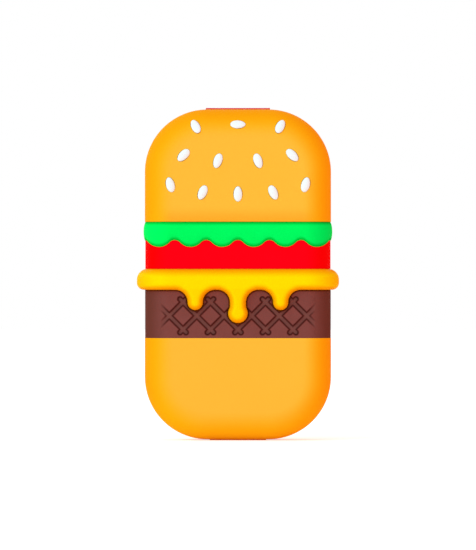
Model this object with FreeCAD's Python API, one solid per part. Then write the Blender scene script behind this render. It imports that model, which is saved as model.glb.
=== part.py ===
import FreeCAD, Part
import math
import os

# A flip telephone shaped as a tall hamburger, standing closed on its bottom bun.
# The front half is a lid that swings up about a hinge near the top of the rear half.
# While it is drawn, the split between the halves is the plane y = 0, the front looks along -Y
# and the buns start at z = 0. save() then moves every piece into the standing frame.

V = FreeCAD.Vector

# Outline of the closed phone, seen from the front
body_width = 79.0
corner_radius = 26.5

# Heights of the layers, from the bottom up
bottom_bun_height = 43.0
patty_height = 20.45
cheese_height = 8.9
tomato_height = 15.7
lettuce_height = 4.25
top_bun_height = 47.7

# Depths of the two halves, the rounding of the lid's front edge and the slit between the halves
lid_depth = 17.0
base_depth = 27.0
lid_edge_round = 11.0
split_gap = 0.4

# Skins over moulded trays, the pegs that hold them, and the feet
skin_wall = 2.2
tray_wall = 1.8
fit_gap = 0.15
peg_radius = 1.5
peg_spread = 20.0
peg_root = 0.45
peg_tip = 0.9
foot_height = 0.4
foot_width = 24.0
foot_margin = 1.0

# How far each layer stands out from the buns, and the gap where one layer lies over another
lettuce_proud = 0.6
tomato_inset = 0.2
cheese_proud = 3.4
patty_inset = 0.1
layer_gap = 0.1

# Lettuce leaf: a row of hanging scallops, a little wider than the buns, with rounded edges
scallop_count = 6
scallop_spill = 1.2
scallop_rise = 2.9
bulge_share = 0.66
leaf_overlap = 6.45
leaf_end_rise = 2.4
leaf_edge_round = 0.5

# Cheese bead and its three drips, which fill the lid's flat face up to a margin
cheese_top_round = 4.6
drip_round_share = 0.94
drip_margin = 1.95
side_drip_half = 3.2
side_drip_straight = 0.1
neck_half = 3.4
neck_straight = 1.45
neck_fillet = 3.0
bulb_extra = 0.75
arch_share = 0.46

# Grill marks in the patty
grill_pitch = 11.62
grill_rise = 11.59
grill_width = 2.0
grill_depth = 0.8
grill_low_margin = 1.42
grill_high_margin = 2.93

# Sesame seeds: one (x, drop below the bun's top, lean from the x axis) for each on the right half
seed_length = 6.45
seed_width = 3.8
seed_rise = 0.8
seed_round = 0.7
seed_sink = 1.4
seed_gap = 0.06
right_seeds = [(17.9, 7.45, 65), (23.0, 19.6, -45), (8.5, 22.0, -71), (28.6, 32.1, 75), (14.95, 35.4, -66)]
middle_seeds = [(0.0, 6.55, 0), (0.0, 36.0, 90)]

# Hinge
knuckle_width = 27.4
knuckle_proud = 1.08
knuckle_wall = 2.6
knuckle_gap = 0.4
leaf_thickness = 4.0
leaf_drop = 14.0
leaf_rise = 6.0
leaf_screw_drop = 8.4
pin_radius = 2.0
pin_spacing = 2.6
pin_fit = 0.05
hub_wall = 2.4
ear_width = 11.0

# Inner panels and keys; the keys fill the panel from above the hook plunger to below the hinge
panel_thickness = 2.0
lid_panel_drop = 0.4
panel_top_gap = 2.0
key_well = 2.4
key_rows = 5
key_columns = 3
key_side_band = 17.8
key_space_x = 3.1
key_space_z = 4.0
keys_above_hook = 13.0
keys_below_top = 13.9
function_key_height = 6.5
key_corner = 3.0
key_round = 1.1
key_rise = 1.7
key_gap = 0.25
key_travel = 1.2
flange_thickness = 1.0
flange_margin = 0.9
rest_gap = 0.05
dome_gap = 0.1
dome_pressed = 1.6
dome_radius = 3.6
dome_tip_radius = 2.3
mat_thickness = 1.4

# Hook plunger under the lid, and its switch
hook_height = 27.0
hook_radius = 2.2
hook_fit = 0.08
hook_travel = 2.0
hook_flange = 1.2
hook_tip_round = 0.9
hook_switch_width = 9.0
hook_switch_height = 7.0

# Circuit board and the parts on its rear
board_thickness = 1.6
board_margin = 2.35
board_bottom = 22.0
board_top_gap = 1.0
board_corner = 5.0
parts_drop = 32.0
chip_width = 14.0
chip_height = 10.0
chip_thickness = 2.0
relay_x = 14.0
relay_width = 12.0
relay_height = 10.0
relay_thickness = 7.0
crystal_x = -15.0
crystal_width = 6.0
crystal_height = 4.0
crystal_thickness = 3.5
can_drop = 21.0
can_spacing = 7.0
can_radius = 2.5
can_length = 7.0

# Microphone, earpiece and ringer, with their sound holes
mic_height = 14.5
mic_radius = 4.85
mic_length = 5.2
mic_proud = 0.6
mic_cup_depth = 3.6
mic_hole_radius = 0.7
mic_hole_pitch = 2.4
boot_wall = 0.7
earpiece_drop = 54.6
earpiece_hole_pitch = 3.0
dish_depth = 0.8
dish_radius = 13.3
dish_floor_radius = 9.8
speaker_radius = 14.0
speaker_depth = 6.0
speaker_rim = 2.4
magnet_radius = 8.7
cone_radius = 10.1
cone_depth = 1.5
coil_radius = 3.5
gasket_thickness = 0.8
gasket_width = 3.5
ringer_radius = 8.4
ringer_thickness = 2.2
ringer_hole_pitch = 2.9
sound_hole_radius = 0.9

# Line jack with four contacts
jack_height = 22.0
jack_width = 13.2
jack_rise = 12.0
jack_bore_width = 9.8
jack_bore_rise = 6.8
jack_end_wall = 2.8
latch_width = 6.4
latch_rise = 1.4
contact_count = 4
contact_pitch = 1.02
contact_radius = 0.23
contact_length = 8.8
contact_root = 1.2
contact_fall = 0.8

# Slide switches
knob_length = 4.2
knob_width = 3.0
knob_travel = 4.0
knob_gap = 0.2
knob_proud = 0.8
side_knob_sink = 0.3
switch_depth = 6.0
tone_post_gap = 1.4
tone_height = 35.0

# Screws and the posts that take them
post_side_margin = 12.0
post_below_patty = 9.4
post_above_lettuce = 6.7
post_radius = 3.3
stem_step = 1.0
sleeve_wall = 0.7
seat_wall = 0.8
pilot_radius = 1.3
screw_radius = 1.25
screw_head_radius = 2.7
screw_head_height = 1.5
recess_depth = 0.9
recess_reach = 1.5
recess_width = 0.76
lid_screw_length = 7.0
base_screw_length = 11.0
lid_screw_margin = 14.5
lid_screw_low = 22.0
lid_screw_drop = 40.0
bumper_x = 24.0
bumper_height = 11.0
bumper_radius = 2.2

# Levels and depths that follow from those sizes
patty_z = bottom_bun_height
cheese_z = patty_z + patty_height
tomato_z = cheese_z + cheese_height
lettuce_z = tomato_z + tomato_height
top_bun_z = lettuce_z + lettuce_height
body_height = top_bun_z + top_bun_height
patty_middle = patty_z + patty_height / 2
half_gap = split_gap / 2
barrel_radius = (base_depth - half_gap) / 2
hinge_y = half_gap + barrel_radius
hinge_z = body_height - barrel_radius
knuckle_radius = barrel_radius + knuckle_proud
half_knuckle = knuckle_width / 2
half_slot = half_knuckle + knuckle_gap
tray_inset = skin_wall + fit_gap
hollow_inset = tray_inset + tray_wall
lid_hollow_y = -(lid_depth - hollow_inset)
groove_y = -(lid_depth - patty_inset - grill_depth)
base_hollow_y = base_depth - hollow_inset
frame_shift = (base_depth - lid_depth) / 2
reach = 4 * body_height
near = 0.01

# The stack of layers behind the keys
lid_panel_y = -half_gap - lid_panel_drop
lid_panel_back = lid_panel_y - panel_thickness
panel_y = half_gap + key_well
panel_back = panel_y + panel_thickness
flange_y = panel_back + rest_gap
dome_y = flange_y + flange_thickness + dome_gap
dome_height = key_travel + dome_pressed
mat_y = dome_y + dome_height
board_y = mat_y + mat_thickness
board_back = board_y + board_thickness

# Sizes and places of the keys and drips, spread over the room that they have
panel_top = hinge_z - knuckle_radius - panel_top_gap
key_pitch_x = (body_width - 2 * key_side_band + key_space_x) / key_columns
key_width = key_pitch_x - key_space_x
keypad_height = hook_height + keys_above_hook
key_pitch_z = (panel_top - keys_below_top - keypad_height) / (key_rows - 1)
key_height = key_pitch_z - key_space_z
cheese_bottom_round = drip_round_share * min(side_drip_half, cheese_proud)
drip_room = body_width / 2 - lid_edge_round - drip_margin
drip_spacing = (drip_room - side_drip_half + arch_share * (side_drip_half + neck_half)) / (1 + arch_share)


def box(x0, x1, y0, y1, z0, z1):
    """A block between six planes."""
    return Part.makeBox(x1 - x0, y1 - y0, z1 - z0, V(x0, y0, z0))


def rod_y(radius, x, z, y0, y1):
    """A round rod along Y."""
    return Part.makeCylinder(radius, y1 - y0, V(x, y0, z), V(0, 1, 0))


def rod_x(radius, y, z, x0, x1):
    """A round rod along X."""
    return Part.makeCylinder(radius, x1 - x0, V(x0, y, z), V(1, 0, 0))


def union(shapes):
    """One clean solid from overlapping ones."""
    return shapes[0].multiFuse(shapes[1:]).removeSplitter()


def slice_z(shape, z0, z1):
    """The part of a shape between two heights."""
    return shape.common(box(-reach, reach, -reach, reach, z0, z1))


def both_sides(shape):
    """A shape and its mirror image across the middle plane."""
    return [shape, shape.mirror(V(0, 0, 0), V(1, 0, 0))]


def line(x0, z0, x1, z1):
    """A straight edge in the XZ plane."""
    return Part.LineSegment(V(x0, 0, z0), V(x1, 0, z1)).toShape()


def arc(x, z, radius, start, end):
    """An arc in the XZ plane, with angles in degrees from +X towards +Z."""
    angles = [math.radians(a) for a in (start, (start + end) / 2, end)]
    points = [V(x + radius * math.cos(a), 0, z + radius * math.sin(a)) for a in angles]
    return Part.Arc(*points).toShape()


def prism(edges, y0, y1):
    """A closed XZ outline drawn out from y0 to y1."""
    face = Part.Face(Part.Wire(Part.__sortEdges__(edges)))
    face.translate(V(0, y0, 0))
    return face.extrude(V(0, y1 - y0, 0))


def rounded_plate(width, height, radius, x, z, y0, y1):
    """A plate with round corners, centred on x and z."""
    w = width / 2 - radius
    h = height / 2 - radius
    edges = [
        line(x - w, z - h - radius, x + w, z - h - radius),
        arc(x + w, z - h, radius, -90, 0),
        line(x + w + radius, z - h, x + w + radius, z + h),
        arc(x + w, z + h, radius, 0, 90),
        line(x + w, z + h + radius, x - w, z + h + radius),
        arc(x - w, z + h, radius, 90, 180),
        line(x - w - radius, z + h, x - w - radius, z - h),
        arc(x - w, z - h, radius, 180, 270),
    ]
    return prism(edges, y0, y1)


def edges_on_y(shape, y):
    """The edges that lie in one plane across Y."""
    return [e for e in shape.Edges if max(abs(e.BoundBox.YMin - y), abs(e.BoundBox.YMax - y)) < near]


def half_slab(inset, rim_y, face_y, edge_round):
    """The bun outline moved in by inset, from the rim to a face with one rounded edge."""
    slab = rounded_plate(body_width - 2 * inset, body_height - 2 * inset, corner_radius - inset,
                         0, body_height / 2, rim_y, face_y)
    return slab.makeFillet(edge_round, edges_on_y(slab, face_y))


def lid_form(inset, rim_y=-half_gap):
    """The lid's outer form, moved in by inset."""
    return half_slab(inset, rim_y, -(lid_depth - inset), lid_edge_round - inset)


def base_form(inset, rim_y=half_gap):
    """The base's outer form: as deep at its rear, with a round barrel end about the hinge."""
    slab = half_slab(inset, rim_y, base_depth - inset, barrel_radius - inset)
    above = box(-reach, reach, -reach, hinge_y, hinge_z, reach)
    barrel = rod_x(barrel_radius - inset, hinge_y, hinge_z, -reach, reach)
    return slab.cut(above.cut(barrel))


def lid_layer(proud, z0, z1):
    """One skin of the lid, open towards the split."""
    return slice_z(lid_form(-proud).cut(lid_form(skin_wall, half_gap)), z0, z1)


def base_layer(proud, z0, z1):
    """One skin of the base, open towards the split."""
    return slice_z(base_form(-proud).cut(base_form(skin_wall, -half_gap)), z0, z1)


# Each skin is pegged at the middle of its height; the top bun low down, where its face is flat.
peg_heights = {
    "bottom_bun": bottom_bun_height / 2,
    "patty": patty_middle,
    "cheese": cheese_z + cheese_height / 2,
    "tomato": tomato_z + tomato_height / 2,
    "lettuce": lettuce_z + lettuce_height / 2,
    "top_bun": top_bun_z + top_bun_height / 4,
}


def lid_pegs(layer, radius=peg_radius):
    """Two pegs from a lid skin through the tray's front wall."""
    root = -(lid_depth - skin_wall + peg_root)
    return both_sides(rod_y(radius, peg_spread, peg_heights[layer], root, lid_hollow_y + peg_tip))


def base_pegs(layer, radius=peg_radius):
    """Two pegs from a rear skin through the chassis' rear wall."""
    root = base_depth - skin_wall + peg_root
    return both_sides(rod_y(radius, peg_spread, peg_heights[layer], base_hollow_y - peg_tip, root))


def scallop_edges():
    """The hanging edge of the leaf, bulges and hollows of tangent arcs, closed far below it."""
    pitch = (body_width + scallop_spill) / scallop_count
    half = pitch / 2
    total = (half ** 2 + scallop_rise ** 2) / (2 * scallop_rise)
    bulge = bulge_share * total
    hollow = total - bulge
    low = lettuce_z - leaf_overlap
    lean = math.degrees(math.atan2(total - scallop_rise, half))
    end_lean = math.degrees(math.asin((total - leaf_end_rise) / total))
    last = scallop_count - 1
    edges = []
    for i in range(scallop_count):
        x = pitch * (i - last / 2)
        start = 180 + (end_lean if i == 0 else lean)
        end = 360 - (end_lean if i == last else lean)
        edges.append(arc(x, low + bulge, bulge, start, end))
        if i < last:
            edges.append(arc(x + half, low + scallop_rise - hollow, hollow, 180 - lean, lean))
    end_x = pitch * last / 2 + total * math.cos(math.radians(end_lean))
    end_z = low + leaf_end_rise
    floor = low - cheese_height
    right = [
        arc(end_x, end_z - hollow, hollow, 180 - end_lean, 90),
        line(end_x, end_z, 2 * end_x, end_z),
        line(2 * end_x, end_z, 2 * end_x, floor),
    ]
    left = [edge.mirror(V(0, 0, 0), V(1, 0, 0)) for edge in right]
    return edges + right + left + [line(-2 * end_x, floor, 2 * end_x, floor)]


def outer_edges(block, form, keep):
    """Edges of a block on its form's curved outside that a test accepts, apart from upright seams."""
    chosen = []
    for edge in block.Edges:
        middle = edge.valueAt((edge.FirstParameter + edge.LastParameter) / 2)
        across = edge.BoundBox.XLength + edge.BoundBox.YLength
        on_outside = form.Shells[0].distToShape(Part.Vertex(middle))[0] < near
        if on_outside and across > near and keep(middle):
            chosen.append(edge)
    return chosen


def lettuce(form, rim_y):
    """A leaf over the tomato: a seated band with a scalloped, rounded skirt hanging from it."""
    outside = form(-lettuce_proud, rim_y)
    block = slice_z(outside, lettuce_z - leaf_overlap, top_bun_z)
    leaf = block.cut(prism(scallop_edges(), -reach, reach))
    rounded = outer_edges(leaf, outside, lambda p: abs(p.y - rim_y) > near)
    leaf = leaf.makeFillet(leaf_edge_round, rounded)
    seat = slice_z(form(tomato_inset - layer_gap, -rim_y), -reach, lettuce_z)
    return leaf.cut(form(skin_wall, -rim_y)).cut(seat)


def drip_edges():
    """Outline of the three drips, all lines and tangent arcs, closed inside the bead."""
    arch = arch_share * (drip_spacing - side_drip_half - neck_half)
    bulb = neck_half + bulb_extra
    neck_top = cheese_z - arch
    neck_z = neck_top - neck_straight
    fillet_x = neck_half + neck_fillet
    bulb_drop = math.sqrt((neck_fillet + bulb) ** 2 - fillet_x ** 2)
    lean = math.degrees(math.atan2(bulb_drop, fillet_x))
    tip_z = neck_top - side_drip_straight
    inner_x = drip_spacing - side_drip_half
    outer_x = drip_spacing + side_drip_half
    end_x = outer_x + arch
    right = [
        arc(fillet_x, neck_z, neck_fillet, 180 + lean, 180),
        line(neck_half, neck_z, neck_half, neck_top),
        arc(neck_half + arch, neck_top, arch, 180, 90),
        line(neck_half + arch, cheese_z, inner_x - arch, cheese_z),
        arc(inner_x - arch, neck_top, arch, 90, 0),
        line(inner_x, neck_top, inner_x, tip_z),
        arc(drip_spacing, tip_z, side_drip_half, 180, 360),
        line(outer_x, tip_z, outer_x, neck_top),
        arc(end_x, neck_top, arch, 180, 90),
        line(end_x, cheese_z, end_x, cheese_z + cheese_height / 2),
    ]
    left = [edge.mirror(V(0, 0, 0), V(1, 0, 0)) for edge in right]
    bottom = arc(0, neck_z - bulb_drop, bulb, 180 - lean, 360 + lean)
    top = line(-end_x, cheese_z + cheese_height / 2, end_x, cheese_z + cheese_height / 2)
    return right + left + [bottom, top]


def cheese(form, rim_y, drips):
    """A rounded bead round one half; the lid's has drips over the patty's face."""
    outside = form(-cheese_proud, rim_y)
    block = slice_z(outside, cheese_z, tomato_z)
    if drips:
        face_y = -(lid_depth + cheese_proud)
        back_y = -(lid_depth - patty_inset + layer_gap)
        block = union([block, prism(drip_edges(), face_y, back_y)])
    upper = outer_edges(block, outside, lambda p: abs(p.y - rim_y) > near and p.z > tomato_z - near)
    block = block.makeFillet(cheese_top_round, upper)
    lower = outer_edges(block, outside, lambda p: abs(p.y - rim_y) > near and p.z < cheese_z + near)
    block = block.makeFillet(cheese_bottom_round, lower)
    return block.cut(form(skin_wall, -rim_y))


def slot_bar(length, width, angle, x, z):
    """A round-ended bar from ahead of the patty to the groove's floor, turned by angle in the XZ plane."""
    run = (length - width) / 2
    edges = [
        line(-run, -width / 2, run, -width / 2),
        arc(run, 0, width / 2, -90, 90),
        line(run, width / 2, -run, width / 2),
        arc(-run, 0, width / 2, 90, 270),
    ]
    bar = prism(edges, -2 * lid_depth, groove_y)
    bar.rotate(V(0, 0, 0), V(0, 1, 0), -angle)
    bar.translate(V(x, 0, z))
    return bar


def grill_marks():
    """Crossing bars that cut a shallow lattice into the patty and run out where its sides round off."""
    angle = math.degrees(math.atan2(grill_rise, grill_pitch))
    tall = patty_height - grill_low_margin - grill_high_margin
    middle = patty_z + grill_low_margin + tall / 2
    length = (tall - grill_width) / math.sin(math.radians(angle)) + grill_width
    columns = 2 * math.ceil((body_width / 2 - lid_edge_round) / grill_pitch)
    bars = []
    for i in range(columns):
        x = grill_pitch * (i + 0.5 - columns / 2)
        bars += [slot_bar(length, grill_width, lean, x, middle) for lean in (angle, -angle)]
    return union(bars)


def bun_surface(x, z):
    """The point of the lid's outside seen at x and z from the front, and its outward normal."""
    beside = abs(x) - (body_width / 2 - corner_radius)
    above = abs(z - body_height / 2) - (body_height / 2 - corner_radius)
    if beside > 0 and above > 0:
        far = math.hypot(beside, above)
        depth = corner_radius - far
        out = (math.copysign(beside, x) / far, above / far)
    elif beside > above:
        depth = corner_radius - beside
        out = (math.copysign(1, x), 0)
    else:
        depth = corner_radius - above
        out = (0, 1)
    lean = max(lid_edge_round - depth, 0) / lid_edge_round
    rise = math.sqrt(1 - lean ** 2)
    point = V(x, -(lid_depth - lid_edge_round) - lid_edge_round * rise, z)
    return point, V(out[0] * lean, -rise, out[1] * lean)


def seed(x, z, lean, gap):
    """An oval sesame seed sunk in the bun, with a rounded top; gap swells it into its pocket."""
    oval = Part.Ellipse(V(0, 0, -seed_sink - gap), seed_length / 2 + gap, seed_width / 2 + gap)
    kernel = Part.Face(Part.Wire(oval.toShape())).extrude(V(0, 0, seed_sink + gap + seed_rise))
    top = [edge for edge in kernel.Edges if edge.BoundBox.ZMin > 0]
    kernel = kernel.makeFillet(seed_round, top)
    point, normal = bun_surface(x, z)
    along = V(math.cos(math.radians(lean)), 0, math.sin(math.radians(lean)))
    kernel.Placement = FreeCAD.Placement(point, FreeCAD.Rotation(along, V(0, 0, 0), normal, "ZXY"))
    return kernel


def seeds(gap):
    """All the seeds, or with a gap their pockets."""
    places = list(middle_seeds)
    for x, drop, lean in right_seeds:
        places += [(x, drop, lean), (-x, drop, 180 - lean)]
    return [seed(x, body_height - drop, lean, gap) for x, drop, lean in places]


def hole_ring(x, z, radius, spacing, rings, y0, y1):
    """Sound holes through a wall: one in the middle and rings of six more each."""
    holes = [rod_y(radius, x, z, y0, y1)]
    for ring in range(1, rings + 1):
        for i in range(6 * ring):
            turn = 2 * math.pi * i / (6 * ring)
            far = spacing * ring
            holes.append(rod_y(radius, x + far * math.cos(turn), z + far * math.sin(turn), y0, y1))
    return holes


def screw(x, z, y_seat, y_tip):
    """A cross-head screw along Y from the face its head sits on to its tip."""
    way = math.copysign(1, y_tip - y_seat)
    head_y = y_seat - way * screw_head_height
    shank = rod_y(screw_radius, x, z, min(y_seat, y_tip), max(y_seat, y_tip))
    head = rod_y(screw_head_radius, x, z, min(head_y, y_seat), max(head_y, y_seat))
    depth = sorted((head_y, head_y + way * recess_depth))
    thin = recess_width / 2
    flat_slot = box(x - recess_reach, x + recess_reach, *depth, z - thin, z + thin)
    tall_slot = box(x - thin, x + thin, *depth, z - recess_reach, z + recess_reach)
    return head.fuse(shank).removeSplitter().cut(flat_slot.fuse(tall_slot))


def panel_outline(y0, y1):
    """A plate that fits inside the skins' rim."""
    return rounded_plate(body_width - 2 * tray_inset, body_height - 2 * tray_inset,
                         corner_radius - tray_inset, 0, body_height / 2, y0, y1)


def save(name, shape):
    """Moves a piece into the standing frame and writes it."""
    piece = shape.copy()
    piece.translate(V(0, -frame_shift, foot_height))
    if not piece.isValid():
        print("not valid:", name)
    piece.exportStep("parts/" + name + ".step")


os.makedirs("parts", exist_ok=True)

# Lid skins: six coloured shells, each with two pegs into the tray
seed_pockets = seeds(seed_gap)
lid_top = lid_layer(0, top_bun_z, body_height).cut(seed_pockets)
save("lid_top_bun", union([lid_top] + lid_pegs("top_bun")))
save("sesame_seeds", Part.Compound(seeds(0)))
save("lid_lettuce", union([lettuce(lid_form, -half_gap)] + lid_pegs("lettuce")))
save("lid_tomato", union([lid_layer(-tomato_inset, tomato_z, lettuce_z)] + lid_pegs("tomato")))
save("lid_cheese", union([cheese(lid_form, -half_gap, True)] + lid_pegs("cheese")))
lid_patty = lid_layer(-patty_inset, patty_z, cheese_z).cut(grill_marks())
save("lid_patty", union([lid_patty] + lid_pegs("patty")))
save("lid_bottom_bun", union([lid_layer(0, 0, patty_z)] + lid_pegs("bottom_bun")))

# Lid tray: a shell inside the skins, with posts for the inner panel and for the hinge leaf
leaf_y = -half_gap - rest_gap
leaf_back = leaf_y - leaf_thickness
leaf_screw_x = half_knuckle / 2
leaf_screw_z = hinge_z - leaf_screw_drop
leaf_screw_places = [(-leaf_screw_x, leaf_screw_z), (leaf_screw_x, leaf_screw_z)]
lid_screw_x = body_width / 2 - lid_screw_margin
lid_screw_high = body_height - lid_screw_drop
lid_screw_places = [(x, z) for x in (-lid_screw_x, lid_screw_x) for z in (lid_screw_low, lid_screw_high)]
post_root = lid_hollow_y - tray_wall / 2
posts = [rod_y(post_radius, x, z, post_root, lid_panel_back) for x, z in lid_screw_places]
posts += [rod_y(post_radius, x, z, post_root, leaf_back) for x, z in leaf_screw_places]
tray = lid_form(tray_inset, lid_panel_back).cut(lid_form(hollow_inset, half_gap))
tray = union([tray] + posts)
tray = tray.cut([rod_y(pilot_radius, x, z, lid_hollow_y, 0) for x, z in lid_screw_places + leaf_screw_places])
for layer in peg_heights:
    tray = tray.cut(lid_pegs(layer, peg_radius + fit_gap))
save("lid_carrier", tray)

# Lid inner panel: earpiece dish and holes, a cup for the speaker, a window for the hinge leaf
ear_z = hinge_z - earpiece_drop
cup_radius = speaker_radius + fit_gap
cup_y = lid_panel_back - gasket_thickness - speaker_rim
panel = panel_outline(lid_panel_back, lid_panel_y)
cup = rod_y(cup_radius + tray_wall, 0, ear_z, cup_y, lid_panel_back)
panel = union([panel, cup.cut(rod_y(cup_radius, 0, ear_z, cup_y, lid_panel_back))])
dish = Part.makeCone(dish_radius, dish_floor_radius, dish_depth, V(0, lid_panel_y, ear_z), V(0, -1, 0))
window = box(-half_knuckle - fit_gap, half_knuckle + fit_gap, lid_panel_back, lid_panel_y,
             hinge_z - leaf_drop - fit_gap, hinge_z + leaf_rise + fit_gap)
ear_holes = hole_ring(0, ear_z, sound_hole_radius, earpiece_hole_pitch, 2, lid_panel_back, lid_panel_y)
panel = panel.cut([dish, window] + ear_holes)
lid_seat = lid_panel_y - screw_head_height
for x, z in lid_screw_places:
    panel = panel.cut(rod_y(screw_radius + fit_gap, x, z, lid_panel_back, lid_panel_y))
    panel = panel.cut(rod_y(screw_head_radius + fit_gap, x, z, lid_seat, lid_panel_y))
save("lid_inner_panel", panel)
lid_screws = [screw(x, z, lid_seat, lid_seat - lid_screw_length) for x, z in lid_screw_places]
save("lid_screws", Part.Compound(lid_screws))

# Earpiece: a foam ring and a small loudspeaker in the panel's cup
gasket_y = lid_panel_back - gasket_thickness
gasket = rod_y(speaker_radius, 0, ear_z, gasket_y, lid_panel_back)
gasket_hole = rod_y(speaker_radius - gasket_width, 0, ear_z, gasket_y, lid_panel_back)
save("earpiece_gasket", gasket.cut(gasket_hole))
basket = rod_y(speaker_radius, 0, ear_z, gasket_y - speaker_rim, gasket_y)
magnet = rod_y(magnet_radius, 0, ear_z, gasket_y - speaker_depth, gasket_y - speaker_rim)
cone = Part.makeCone(cone_radius, coil_radius, cone_depth, V(0, gasket_y, ear_z), V(0, -1, 0))
save("earpiece_speaker", basket.fuse(magnet).removeSplitter().cut(cone))

# Hinge knuckle: a red drum on a hub, with a leaf that is screwed inside the lid
drum = rod_x(knuckle_radius, hinge_y, hinge_z, -half_knuckle, half_knuckle)
drum = drum.cut(rod_x(knuckle_radius - knuckle_wall, hinge_y, hinge_z, -half_knuckle, half_knuckle))
hub = rod_x(pin_radius + hub_wall, hinge_y, hinge_z, -half_knuckle, half_knuckle)
web = rod_x(knuckle_radius - knuckle_wall / 2, hinge_y, hinge_z, -knuckle_wall, knuckle_wall)
leaf = box(-half_knuckle, half_knuckle, leaf_back, leaf_y, hinge_z - leaf_drop, hinge_z + leaf_rise)
knuckle = union([drum, hub, web, leaf])
knuckle = knuckle.cut(rod_x(pin_radius + pin_fit, hinge_y, hinge_z, -half_knuckle, half_knuckle))
leaf_seat = leaf_y - screw_head_height
for x, z in leaf_screw_places:
    knuckle = knuckle.cut(rod_y(screw_radius + fit_gap, x, z, leaf_back, leaf_y))
    knuckle = knuckle.cut(rod_y(screw_head_radius + fit_gap, x, z, leaf_seat, leaf_y))
save("hinge_knuckle", knuckle)
hinge_screws = [screw(x, z, leaf_seat, leaf_seat - lid_screw_length) for x, z in leaf_screw_places]
save("hinge_screws", Part.Compound(hinge_screws))

# Rubber stops on the lid's inner panel, and a thin foot under each half
stop_tip = panel_y - dome_gap
stop = rod_y(bumper_radius, bumper_x, bumper_height, lid_panel_y, stop_tip)
save("lid_bumpers", Part.Compound(both_sides(stop)))
half_foot = foot_width / 2
lid_foot_front = lid_edge_round + fit_gap - lid_depth
save("lid_foot_pad", box(-half_foot, half_foot, lid_foot_front, -foot_margin, -foot_height, 0))
save("base_foot_pad", box(-half_foot, half_foot, foot_margin, hinge_y - fit_gap, -foot_height, 0))

# Places of the base's working pieces
post_x = body_width / 2 - post_side_margin
post_levels = (patty_z - post_below_patty, top_bun_z + post_above_lettuce)
post_places = [(x, z) for x in (-post_x, post_x) for z in post_levels]
screw_seat = base_hollow_y + seat_wall
slot_length = knob_length + knob_travel + 2 * knob_gap
slot_width = knob_width + 2 * knob_gap
tone_x = post_x - post_radius - sleeve_wall - tone_post_gap - slot_length / 2 - tray_wall
ringer_knob_y = board_back + slot_width / 2 + tray_wall / 2
jack_face = base_depth - rest_gap
jack_hole = box(-jack_width / 2 - fit_gap, jack_width / 2 + fit_gap, base_hollow_y - tray_wall, reach,
                jack_height - jack_rise / 2 - fit_gap, jack_height + jack_rise / 2 + fit_gap)
tone_hole = box(tone_x - slot_length / 2, tone_x + slot_length / 2, base_hollow_y - tray_wall, reach,
                tone_height - slot_width / 2, tone_height + slot_width / 2)
ringer_hole = box(body_width / 2 - hollow_inset - tray_wall, reach,
                  ringer_knob_y - slot_width / 2, ringer_knob_y + slot_width / 2,
                  patty_middle - slot_length / 2, patty_middle + slot_length / 2)
ringer_holes = hole_ring(0, patty_middle, sound_hole_radius, ringer_hole_pitch, 2,
                         base_hollow_y - tray_wall, base_depth)
head_holes = [rod_y(screw_head_radius + 2 * fit_gap, x, z, screw_seat, reach) for x, z in post_places]
shank_holes = [rod_y(screw_radius + fit_gap, x, z, base_hollow_y - tray_wall, reach) for x, z in post_places]
knuckle_slot = rod_x(knuckle_radius + knuckle_gap, hinge_y, hinge_z, -half_slot, half_slot)

# Base skins; the top bun wraps over the barrel end and closes the front above the keypad
low_hollow = slice_z(base_form(skin_wall, -half_gap), -reach, panel_top + fit_gap)
barrel_hollow = base_form(skin_wall, half_gap + skin_wall)
rear_top = slice_z(base_form(0).cut(low_hollow).cut(barrel_hollow), top_bun_z, body_height)
save("rear_top_bun", union([rear_top.cut(knuckle_slot).cut(head_holes)] + base_pegs("top_bun")))
save("rear_lettuce", union([lettuce(base_form, half_gap)] + base_pegs("lettuce")))
save("rear_tomato", union([base_layer(-tomato_inset, tomato_z, lettuce_z)] + base_pegs("tomato")))
save("rear_cheese", union([cheese(base_form, half_gap, False)] + base_pegs("cheese")))
rear_patty = base_layer(-patty_inset, patty_z, cheese_z).cut(ringer_holes + [ringer_hole])
save("rear_patty", union([rear_patty] + base_pegs("patty")))
rear_bottom = base_layer(0, 0, patty_z).cut([jack_hole, tone_hole] + head_holes)
save("rear_bottom_bun", union([rear_bottom] + base_pegs("bottom_bun")))

# Base chassis: a shell with hinge ears, sleeves for the posts and a cup for the ringer
stem_radius = post_radius - stem_step
chassis_outside = base_form(tray_inset, panel_back)
shell = chassis_outside.cut(base_form(hollow_inset, -half_gap))
ear_end = half_slot + ear_width
ear = chassis_outside.common(box(half_slot, ear_end, -reach, reach, hinge_z - knuckle_radius, reach))
sleeves = [rod_y(post_radius + sleeve_wall, x, z, board_back, base_depth) for x, z in post_places]
sleeves = [sleeve.common(chassis_outside) for sleeve in sleeves]
cup_radius = ringer_radius + fit_gap
cup_y = base_hollow_y - ringer_thickness
ringer_cup = rod_y(cup_radius + tray_wall, 0, patty_middle, cup_y, base_hollow_y)
ringer_cup = ringer_cup.cut(rod_y(cup_radius, 0, patty_middle, cup_y, base_hollow_y))
chassis = union([shell, ringer_cup] + both_sides(ear) + sleeves)
chassis = chassis.cut([rod_y(stem_radius + fit_gap, x, z, board_back, base_hollow_y) for x, z in post_places])
chassis = chassis.cut(head_holes + shank_holes + ringer_holes)
chassis = chassis.cut([jack_hole, tone_hole, ringer_hole, knuckle_slot])
pin_end = ear_end - tray_wall
pin_bores = both_sides(rod_x(pin_radius + pin_fit, hinge_y, hinge_z, 0, pin_end))
chassis = chassis.cut(pin_bores)
for layer in peg_heights:
    chassis = chassis.cut(base_pegs(layer, peg_radius + fit_gap))
save("base_chassis", chassis)
pins = both_sides(rod_x(pin_radius, hinge_y, hinge_z, pin_spacing / 2, pin_end - rest_gap))
save("hinge_pins", Part.Compound(pins))
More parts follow.
